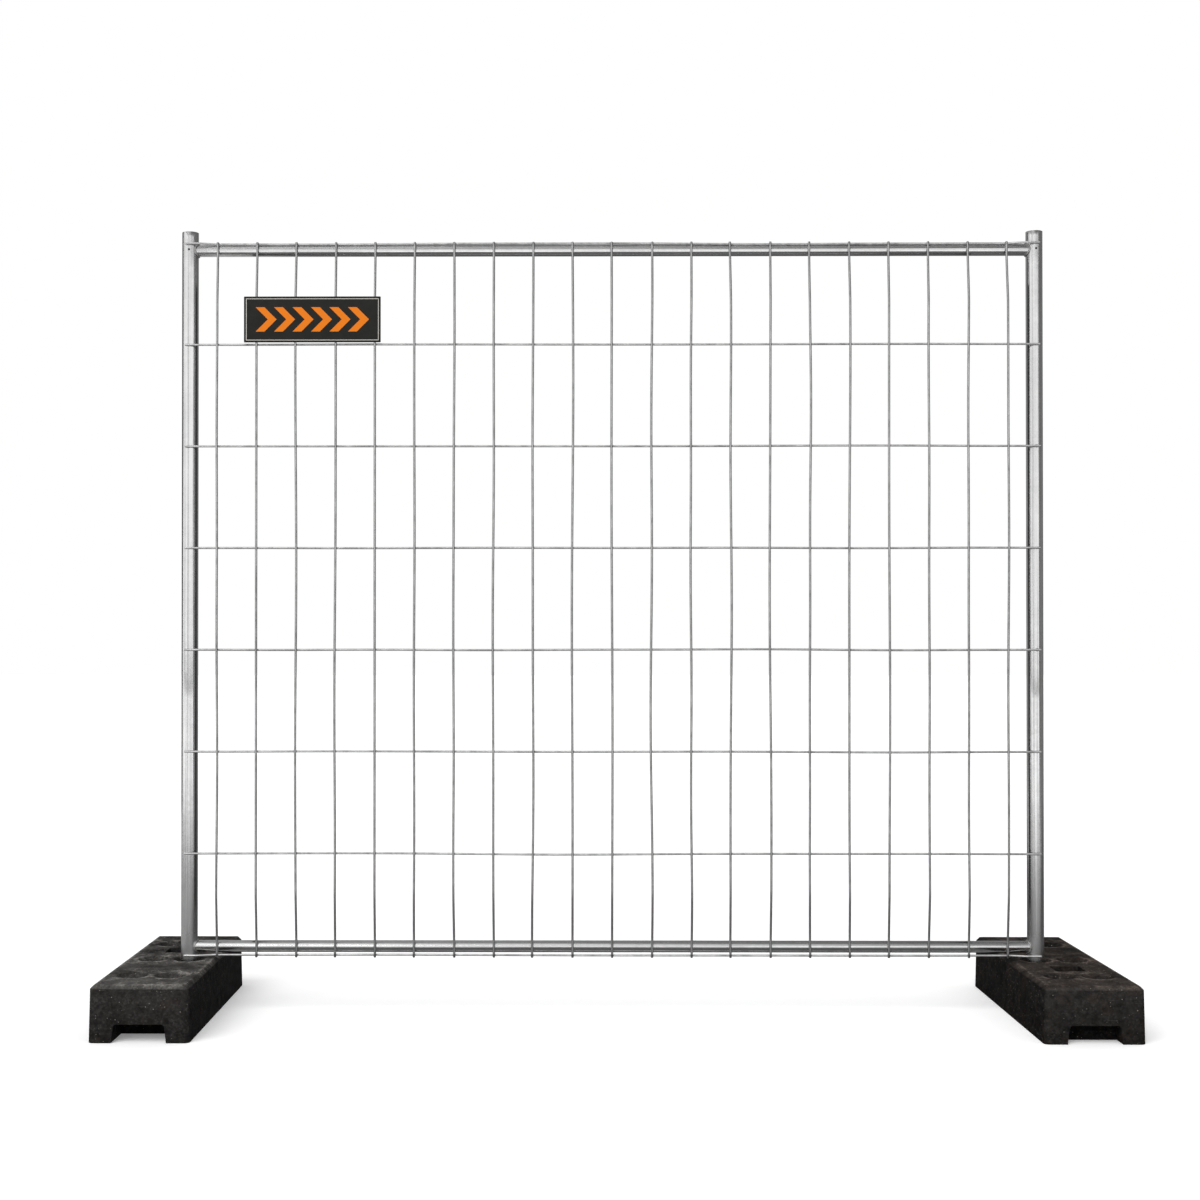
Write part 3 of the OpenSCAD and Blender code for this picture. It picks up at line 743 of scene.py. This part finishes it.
    # Only what faces up holds it
    facing = add(tree, "NewGeometry")["Normal"]
    upward = add(tree, "SeparateXYZ", {0: facing})[2]
    lies = add(tree, "MapRange", {0: upward, 1: 0.45, 2: 0.95, 3: 0.0, 4: 1.0})[0]
    amount = add(tree, "MapRange", {0: right, 3: 0.95, 4: 0.45})[0]
    lies = add(tree, "Math", {0: lies, 1: amount}, operation="MULTIPLY")[0]
    dirt = add(tree, "Math", {0: dirt, 1: lies}, operation="MULTIPLY", use_clamp=True)[0]
    soil = add(tree, "Mix", {0: right, 6: colours.dust, 7: colours.clay}, data_type="RGBA")[2]
    tone = add(tree, "Mix", {0: dirt, 6: tone, 7: soil}, data_type="RGBA")[2]
    rough = add(tree, "MapRange", {0: dirt, 1: 0.0, 2: 1.0, 3: 0.7, 4: 0.92})[0]
    pits = add(tree, "TexNoise", {
        "Vector": place, "Scale": 1 / (1.4 * MM), "Detail": 4.0, "Roughness": 0.65,
    })
    relief = add(tree, "Math", {0: crumb["Distance"], 1: 0.5, 2: pits[0]}, operation="MULTIPLY_ADD")
    bump = add(tree, "Bump", {"Height": relief[0], "Strength": 0.5, "Distance": 0.8 * MM})[0]
    shader = add(tree, "BsdfPrincipled", {
        "Base Color": tone, "Roughness": rough, "Specular IOR Level": 0.035, "Normal": bump,
    })
    add(tree, "OutputMaterial", {"Surface": shader[0]})
    return made


def printed_sheet(colours, sizes):
    """Screen-printed plastic sheet: dark ground, a row of chevrons, a fine border line, and a little dust."""
    made, tree, place = new_material("screen_printed_plastic_sheet")
    middle = (SIGN_LOW + SIGN_HIGH) / 2
    half = (SIGN_HIGH - SIGN_LOW) / 2
    centred = add(tree, "VectorMath", {0: place, 1: middle.tolist()}, operation="SUBTRACT")[0]
    split = add(tree, "SeparateXYZ", {0: centred})
    x, z = split[0], split[2]
    x_size = add(tree, "Math", {0: x}, operation="ABSOLUTE")[0]
    z_size = add(tree, "Math", {0: z}, operation="ABSOLUTE")[0]
    # Chevrons point along the plate: a row of stripes, slanted by the distance from the mid line
    row = sizes.chevrons * sizes.chevron_pitch
    start = (sizes.chevron_reach + sizes.chevron_pitch - sizes.chevron_width - row) / 2
    slant = add(tree, "Math", {0: z_size, 1: x}, operation="ADD")[0]
    slant = add(tree, "Math", {0: slant, 1: start}, operation="SUBTRACT")[0]
    turn = add(tree, "Math", {0: slant, 1: sizes.chevron_pitch}, operation="FLOORED_MODULO")[0]
    stripe = add(tree, "Math", {0: turn, 1: sizes.chevron_width}, operation="LESS_THAN")[0]
    field_x = add(tree, "Math", {0: slant, 1: row / 2, 2: row / 2}, operation="COMPARE")[0]
    field_z = add(tree, "Math", {0: z_size, 1: sizes.chevron_reach}, operation="LESS_THAN")[0]
    field = add(tree, "Math", {0: field_x, 1: field_z}, operation="MULTIPLY")[0]
    chevron = add(tree, "Math", {0: stripe, 1: field}, operation="MULTIPLY")[0]
    # The line: how far inside the plate's edge a point lies
    from_side = add(tree, "Math", {0: float(half[0]), 1: x_size}, operation="SUBTRACT")[0]
    from_end = add(tree, "Math", {0: float(half[2]), 1: z_size}, operation="SUBTRACT")[0]
    inside = add(tree, "Math", {0: from_side, 1: from_end}, operation="MINIMUM")[0]
    line = add(tree, "Math", {0: inside, 1: sizes.border, 2: sizes.line / 2}, operation="COMPARE")[0]
    front = add(tree, "SeparateXYZ", {0: add(tree, "NewGeometry")["Normal"]})[1]
    front = add(tree, "Math", {0: front, 1: -0.5}, operation="LESS_THAN")[0]
    chevron = add(tree, "Math", {0: chevron, 1: front}, operation="MULTIPLY")[0]
    line = add(tree, "Math", {0: line, 1: front}, operation="MULTIPLY")[0]
    tone = add(tree, "Mix", {
        0: chevron, 6: colours.sign_ground, 7: colours.sign_orange,
    }, data_type="RGBA")[2]
    tone = add(tree, "Mix", {0: line, 6: tone, 7: colours.sign_line}, data_type="RGBA")[2]
    haze = add(tree, "TexNoise", {"Vector": place, "Scale": 1 / (40 * MM), "Detail": 6.0, "Roughness": 0.7})
    dusty = add(tree, "MapRange", {0: haze[0], 1: 0.42, 2: 0.75, 3: 0.0, 4: 0.03})[0]
    tone = add(tree, "Mix", {0: dusty, 6: tone, 7: colours.dust}, data_type="RGBA")[2]
    rough = add(tree, "MapRange", {0: haze[0], 1: 0.3, 2: 0.7, 3: 0.36, 4: 0.5})[0]
    shader = add(tree, "BsdfPrincipled", {
        "Base Color": tone, "Roughness": rough, "Specular IOR Level": 0.1,
    })
    add(tree, "OutputMaterial", {"Surface": shader[0]})
    return made


# Stage

FLOOR_REACH = 40.0
# Radius and height of the round set that the metal mirrors
SET_R, SET_H = 6.0, 4.5
# From a post's axis to its dark card
CARD_GAP = 0.15
ONE_QUAD = np.array([[0, 1, 2, 3]])


def sheet_mesh(left, right, front, back, z):
    """A level rectangle: its four corners and the face between them."""
    return np.array([[left, front, z], [right, front, z], [right, back, z], [left, back, z]]), ONE_QUAD


def card_mesh(x, front, back, low, high):
    """An upright rectangle square to the panel: its four corners and the face between them."""
    return np.array([[x, front, low], [x, back, low], [x, back, high], [x, front, high]]), ONE_QUAD


def screen_mesh(start, stop):
    """An upright strip of a cylinder about the panel, between two angles from the front to the right."""
    steps = 24
    turn = np.radians(np.linspace(start, stop, steps + 1))
    foot = SET_R * np.stack([np.sin(turn), -np.cos(turn), np.zeros(steps + 1)], -1)
    points = np.concatenate([foot, foot + [0.0, 0.0, SET_H]])
    i = np.arange(steps)
    return points, np.stack([i, i + 1, i + steps + 2, i + steps + 1], -1)


def shows_white(tree):
    """1 for rays that show the white background: the camera's own, mirrored ones and those through glass."""
    ray = add(tree, "LightPath")
    seen = add(tree, "Math", {0: ray["Is Camera Ray"], 1: ray["Is Glossy Ray"]}, operation="MAXIMUM")[0]
    return add(tree, "Math", {0: seen, 1: ray["Is Transmission Ray"]}, operation="MAXIMUM")[0]


def studio_paper(stage):
    """White studio paper, seamless and matt: evenly pale, and it keeps the shadow of the feet."""
    made, tree, place = new_material("white_studio_paper")
    fibre = add(tree, "TexNoise", {"Vector": place, "Scale": 1 / (300 * MM), "Detail": 2.0})
    tone = add(tree, "MapRange", {0: fibre[0], 3: 0.985, 4: 1.0})[0]
    # Dull surfaces get a share of its light, so that their undersides stay dark
    ray = add(tree, "LightPath")
    share = add(tree, "MapRange", {0: ray["Is Diffuse Ray"], 3: 1.0, 4: stage.bounce})[0]
    tone = add(tree, "Math", {0: tone, 1: share}, operation="MULTIPLY")[0]
    tint = add(tree, "VectorMath", {0: stage.floor[:3], "Scale": tone}, operation="SCALE")[0]
    glow = add(tree, "Math", {0: shows_white(tree), 1: stage.glow}, operation="MULTIPLY")[0]
    shader = add(tree, "BsdfPrincipled", {
        "Base Color": tint, "Roughness": 0.9, "Specular IOR Level": 0.0,
        "Emission Color": (1, 1, 1, 1), "Emission Strength": glow,
    })
    add(tree, "OutputMaterial", {"Surface": shader[0]})
    return made


def glowing(name, level, right_level=None):
    """Cloth of one even grey level, or one that runs to another level at the right post, lit by itself."""
    made, tree, place = new_material(name)
    if right_level is not None:
        x = add(tree, "SeparateXYZ", {0: place})[0]
        level = add(tree, "MapRange", {0: x, 1: -POST_X, 2: POST_X, 3: level, 4: right_level})[0]
    shader = add(tree, "Emission", {"Color": (1, 1, 1, 1), "Strength": level})
    add(tree, "OutputMaterial", {"Surface": shader[0]})
    return made


def add_screen(name, shape, material, mirrored=False):
    """Puts a floor or screen on the stage; a mirrored one shows only in reflections."""
    points, faces = shape
    mesh = bpy.data.meshes.new(name)
    mesh.from_pydata(points.tolist(), [], faces.tolist())
    mesh.materials.append(material)
    screen = bpy.data.objects.new(name, mesh)
    bpy.context.scene.collection.objects.link(screen)
    if mirrored:
        screen.visible_camera = screen.visible_diffuse = False
        screen.visible_shadow = screen.visible_transmission = False


def add_mirrored_set(stage):
    """What the metal mirrors, as in a studio: cloths, a table in front, a ceiling, cards and screens."""
    dark = glowing("dark_cloth", stage.cloth)
    dim = glowing("dim_cloth", stage.dim_cloth)
    pale = glowing("pale_underside", stage.underside, 0.35 * stage.underside)
    grey = glowing("dim_ceiling", stage.ceiling, 0.5 * stage.ceiling)
    # Left, right, front, back and height; the dark cloth lies on the dim one, and the table is pale below
    sheets = (
        ("dark_cloth", dark, (-1.3, SET_R, -0.9, SET_R, -0.1 * MM)),
        ("dim_cloth", dim, (-SET_R, SET_R, -3.2, SET_R, -0.2 * MM)),
        ("dark_table", dark, (-5.0, 5.0, -1.3, -0.42, 0.8)),
        ("pale_underside", pale, (-5.0, 5.0, -1.3, -0.42, 0.79)),
        ("dim_ceiling", grey, (-SET_R, SET_R, -8.0, SET_R, SET_H)),
    )
    for name, material, extent in sheets:
        add_screen(name, sheet_mesh(*extent), material, mirrored=True)
    # A narrow card beside each post darkens its inner edge, and stays clear of the rails
    black = glowing("dark_card", stage.card)
    for name, side in SIDES.items():
        card = card_mesh(side * (POST_X - CARD_GAP), -0.03, 0.06, 0.25, 1.88)
        add_screen(f"{name}_card", card, black, mirrored=True)
    # Level, and the angles between which a screen stands
    screens = (
        ("front_left_screen", stage.front_screen, -32, -22),
        ("side_screen", stage.side_screen, 52, 122),
        ("rear_right_screen", 0.4 * stage.rear_screen, 122, 150),
        ("rear_screen", stage.rear_screen, 150, 230),
        ("rear_left_screen", 0.4 * stage.rear_screen, 230, 262),
    )
    for name, level, start, stop in screens:
        add_screen(name, screen_mesh(start, stop), glowing(name, level), mirrored=True)


def add_light(scene, stage):
    """A soft world, white where it is seen or mirrored, and a wide key light from the upper front left."""
    world = bpy.data.worlds.new("soft_studio")
    world.use_nodes = True
    world.node_tree.nodes.clear()
    scene.world = world
    tree = world.node_tree
    strength = add(tree, "MapRange", {0: shows_white(tree), 3: stage.sky, 4: 1.0})[0]
    white = add(tree, "Background", {"Color": (1, 1, 1, 1), "Strength": strength})
    add(tree, "OutputWorld", {"Surface": white[0]})
    key = bpy.data.lights.new("key_light", "SUN")
    key.energy, key.angle = stage.key, stage.key_spread
    lamp = bpy.data.objects.new("key_light", key)
    lamp.rotation_euler = (stage.key_slope, 0.0, stage.key_turn)
    scene.collection.objects.link(lamp)


def add_camera(scene, stage):
    """The camera at the photograph's viewing angle."""
    lens = bpy.data.cameras.new("photo_camera")
    lens.sensor_width, lens.sensor_fit, lens.lens = 36.0, "HORIZONTAL", stage.lens
    lens.shift_x, lens.shift_y = stage.shift_x, stage.shift_y
    lens.clip_start, lens.clip_end = 0.05, 200.0
    camera = bpy.data.objects.new("photo_camera", lens)
    camera.location = (stage.camera_x, stage.camera_y, stage.camera_z)
    camera.rotation_euler = (math.radians(90) + stage.tilt, 0.0, stage.turn)
    scene.collection.objects.link(camera)
    scene.camera = camera


class FENCE_OT_posts(Operator):
    """Build the two posts."""

    bl_idname = "fence.posts"
    bl_label = "Posts"

    def execute(self, context):
        colours, sizes = context.scene.fence_colours, context.scene.fence_tubes
        zinc = zinc_tube(colours, "galvanised_post_tube", 2, RAIL_Z.values(), sizes.splash)
        for name, side in SIDES.items():
            points, faces = post_mesh(side, sizes)
            add_piece(f"{name}_post_tube", points, faces, zinc, "panel", [f"{name}_post"])
        return {"FINISHED"}


class FENCE_OT_rails(Operator):
    """Build the two rails."""

    bl_idname = "fence.rails"
    bl_label = "Rails"

    def execute(self, context):
        colours, sizes = context.scene.fence_colours, context.scene.fence_tubes
        zinc = zinc_tube(colours, "galvanised_rail_tube", 0, (-POST_X + POST_R, POST_X - POST_R))
        for seed, (name, z) in enumerate(RAIL_Z.items(), SEEDS["rail"]):
            points, faces = rail_mesh(z, sizes, seed)
            add_piece(f"{name}_tube", points, faces, zinc, "panel", [name])
        return {"FINISHED"}


class FENCE_OT_weld_beads(Operator):
    """Build the rippled welds round the four rail ends."""

    bl_idname = "fence.weld_beads"
    bl_label = "Weld beads"

    def execute(self, context):
        colours, sizes = context.scene.fence_colours, context.scene.fence_tubes
        ends = [(side, z) for side in SIDES.values() for z in RAIL_Z.values()]
        made = [weld_bead_mesh(*end, sizes, seed) for seed, end in enumerate(ends, SEEDS["weld"])]
        points = np.concatenate([p.reshape(-1, 3) for p, _ in made])
        faces = np.concatenate([f + k * len(points) // len(ends) for k, (_, f) in enumerate(made)])
        steel = weld_metal(colours, "zinc_painted_weld", 0.8 * MM)
        nodes = ["rail_weld_beads"]
        add_piece("rippled_weld_beads", points, [faces], steel, "panel", nodes, sharp=80.0)
        return {"FINISHED"}


class FENCE_OT_wires(Operator):
    """Build the vertical and horizontal wires."""

    bl_idname = "fence.wires"
    bl_label = "Wires"

    def execute(self, context):
        colours, sizes = context.scene.fence_colours, context.scene.fence_mesh
        # Points along a vertical wire, and on a horizontal one at each end and between
        upright_rows, end_rows, middle_rows = 170, 26, 130
        zinc = zinc_wire(colours, "galvanised_upright_wire", colours.wire, bloom=0.0)
        for name in VERTICAL_NAMES:
            low, high = box_of(name)
            path = vertical_line(name, np.linspace(low[2], high[2], upright_rows), sizes)
            points, faces = wire_mesh(path, (high[0] - low[0]) / 2, sizes.wire_sides, np.array([1.0, 0, 0]))
            add_piece(f"{name}_drawn", points, faces, zinc, "panel", [name])
        # The horizontal wires take the brighter copy of the wire zinc, painted light, under a share of matt
        # bloom
        zinc = zinc_wire(colours, "galvanised_cross_wire", colours.cross_wire_lit, bloom=0.38)
        for name in HORIZONTAL_NAMES:
            low, high = box_of(name)
            step = POST_X - POST_R - sizes.end_lead - sizes.end_run
            ends = np.linspace(step, high[0], end_rows)
            x = np.concatenate([-ends[::-1], np.linspace(-step, step, middle_rows)[1:-1], ends])
            path = horizontal_line(name, x, sizes)
            points, faces = wire_mesh(path, (high[2] - low[2]) / 2, sizes.wire_sides, np.array([0, 0, 1.0]))
            add_piece(f"{name}_drawn", points, faces, zinc, "panel", [name])
        return {"FINISHED"}


class FENCE_OT_spot_welds(Operator):
    """Build the spot welds at every crossing, on the rails and on the posts."""

    bl_idname = "fence.spot_welds"
    bl_label = "Spot welds"

    def execute(self, context):
        colours, sizes = context.scene.fence_colours, context.scene.fence_mesh
        half = sizes.nugget / 2
        mesh = crossings(sizes)
        rails = np.concatenate([
            [[vertical_line(name, np.array([z]), sizes)[0, 0], -RAIL_R, z] for name in VERTICAL_NAMES]
            for z in RAIL_Z.values()
        ])
        posts = np.concatenate([
            [[side * POST_X, -POST_R, sum(box_of(name))[2] / 2] for name in HORIZONTAL_NAMES]
            for side in SIDES.values()
        ])
        centres = np.concatenate([mesh, rails, posts])
        # Half sizes: round between wires, and longer along a wire that lies on a tube
        shape = np.concatenate([
            np.tile([half, 0.55 * half, half], (len(mesh), 1)),
            np.tile([1.05 * half, 0.5 * half, 1.5 * half], (len(rails), 1)),
            np.tile([1.6 * half, 0.5 * half, 1.05 * half], (len(posts), 1)),
        ])
        points, faces = nugget_mesh(centres, shape, SEEDS["nugget"])
        steel = weld_metal(colours, "spot_weld_flash", 0.5 * MM)
        add_piece("mesh_spot_welds", points, faces, steel, "panel", [], sharp=80.0)
        return {"FINISHED"}


class FENCE_OT_sign(Operator):
    """Build the printed sign, and finish its saddle clips."""

    bl_idname = "fence.sign"
    bl_label = "Sign"

    def execute(self, context):
        scene = context.scene
        points, faces = sign_mesh(scene.fence_sign)
        sheet = printed_sheet(scene.fence_colours, scene.fence_sign)
        add_piece("printed_sign", points, faces, sheet, "panel", ["sign_plate"], sharp=60.0)
        saddles = frame["nodes"]["sign_saddles"]
        saddles.data.materials.clear()
        saddles.data.materials.append(weld_metal(scene.fence_colours, "zinc_plated_clip", 0.6 * MM))
        return {"FINISHED"}


class FENCE_OT_feet(Operator):
    """Build the feet: copies of their solids, merged and with moulded edges."""

    bl_idname = "fence.feet"
    bl_label = "Feet"

    def execute(self, context):
        scene = context.scene
        rubber = recycled_rubber(scene.fence_colours, scene.fence_foot)
        for name in SIDES:
            node = f"{name}_foot_block"
            shape = bmesh.new()
            shape.from_mesh(frame["nodes"][node].data)
            bmesh.ops.remove_doubles(shape, verts=shape.verts, dist=0.01 * MM)
            flat = math.radians(0.5)
            bmesh.ops.dissolve_limit(shape, angle_limit=flat, verts=shape.verts, edges=shape.edges)
            mesh = bpy.data.meshes.new(f"{name}_rubber_foot")
            shape.to_mesh(mesh)
            shape.free()
            mesh.polygons.foreach_set("use_smooth", np.ones(len(mesh.polygons), bool))
            mesh.materials.append(rubber)
            piece = bpy.data.objects.new(mesh.name, mesh)
            scene.collection.objects.link(piece)
            edge = piece.modifiers.new("moulded_edges", "BEVEL")
            edge.limit_method, edge.angle_limit = "ANGLE", math.radians(25)
            edge.width, edge.segments = scene.fence_foot.edge, 3
            edge.harden_normals = True
            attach(piece, f"{name}_foot")
            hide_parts(node)
        return {"FINISHED"}


class FENCE_OT_stage(Operator):
    """Build the floor, what the metal mirrors, the light and the camera."""

    bl_idname = "fence.stage"
    bl_label = "Stage"

    def execute(self, context):
        scene, stage = context.scene, context.scene.fence_stage
        scene.view_settings.view_transform = "Standard"
        floor = sheet_mesh(-FLOOR_REACH, FLOOR_REACH, -FLOOR_REACH, FLOOR_REACH, -0.3 * MM)
        add_screen("studio_floor", floor, studio_paper(stage))
        add_mirrored_set(stage)
        add_light(scene, stage)
        add_camera(scene, stage)
        return {"FINISHED"}


OPERATORS = (
    FENCE_OT_stage,
    FENCE_OT_posts,
    FENCE_OT_rails,
    FENCE_OT_weld_beads,
    FENCE_OT_wires,
    FENCE_OT_spot_welds,
    FENCE_OT_sign,
    FENCE_OT_feet,
)


class FENCE_PT_panel(Panel):
    """Lists the pieces of the fence panel and their sizes."""

    bl_idname = "FENCE_PT_panel"
    bl_label = "Temporary Fence Panel"
    bl_space_type = "VIEW_3D"
    bl_region_type = "UI"
    bl_category = "Fence"

    def draw(self, context):
        for operator in OPERATORS:
            self.layout.operator(operator.bl_idname)
        for holder, group in PROPERTY_GROUPS.items():
            box = self.layout.box()
            for key in group.__annotations__:
                box.prop(getattr(context.scene, holder), key)


CLASSES = (*PROPERTY_GROUPS.values(), *OPERATORS, FENCE_PT_panel)


def register():
    """Register the classes and hang the settings on the scene."""
    for cls in CLASSES:
        bpy.utils.register_class(cls)
    for holder, group in PROPERTY_GROUPS.items():
        setattr(bpy.types.Scene, holder, PointerProperty(type=group))


def unregister():
    """Take the settings off the scene and unregister the classes."""
    for holder in PROPERTY_GROUPS:
        delattr(bpy.types.Scene, holder)
    for cls in reversed(CLASSES):
        bpy.utils.unregister_class(cls)


def main():
    """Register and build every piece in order."""
    register()
    for operator in OPERATORS:
        group, name = operator.bl_idname.split(".")
        getattr(getattr(bpy.ops, group), name)()


if __name__ == "__main__":
    main()
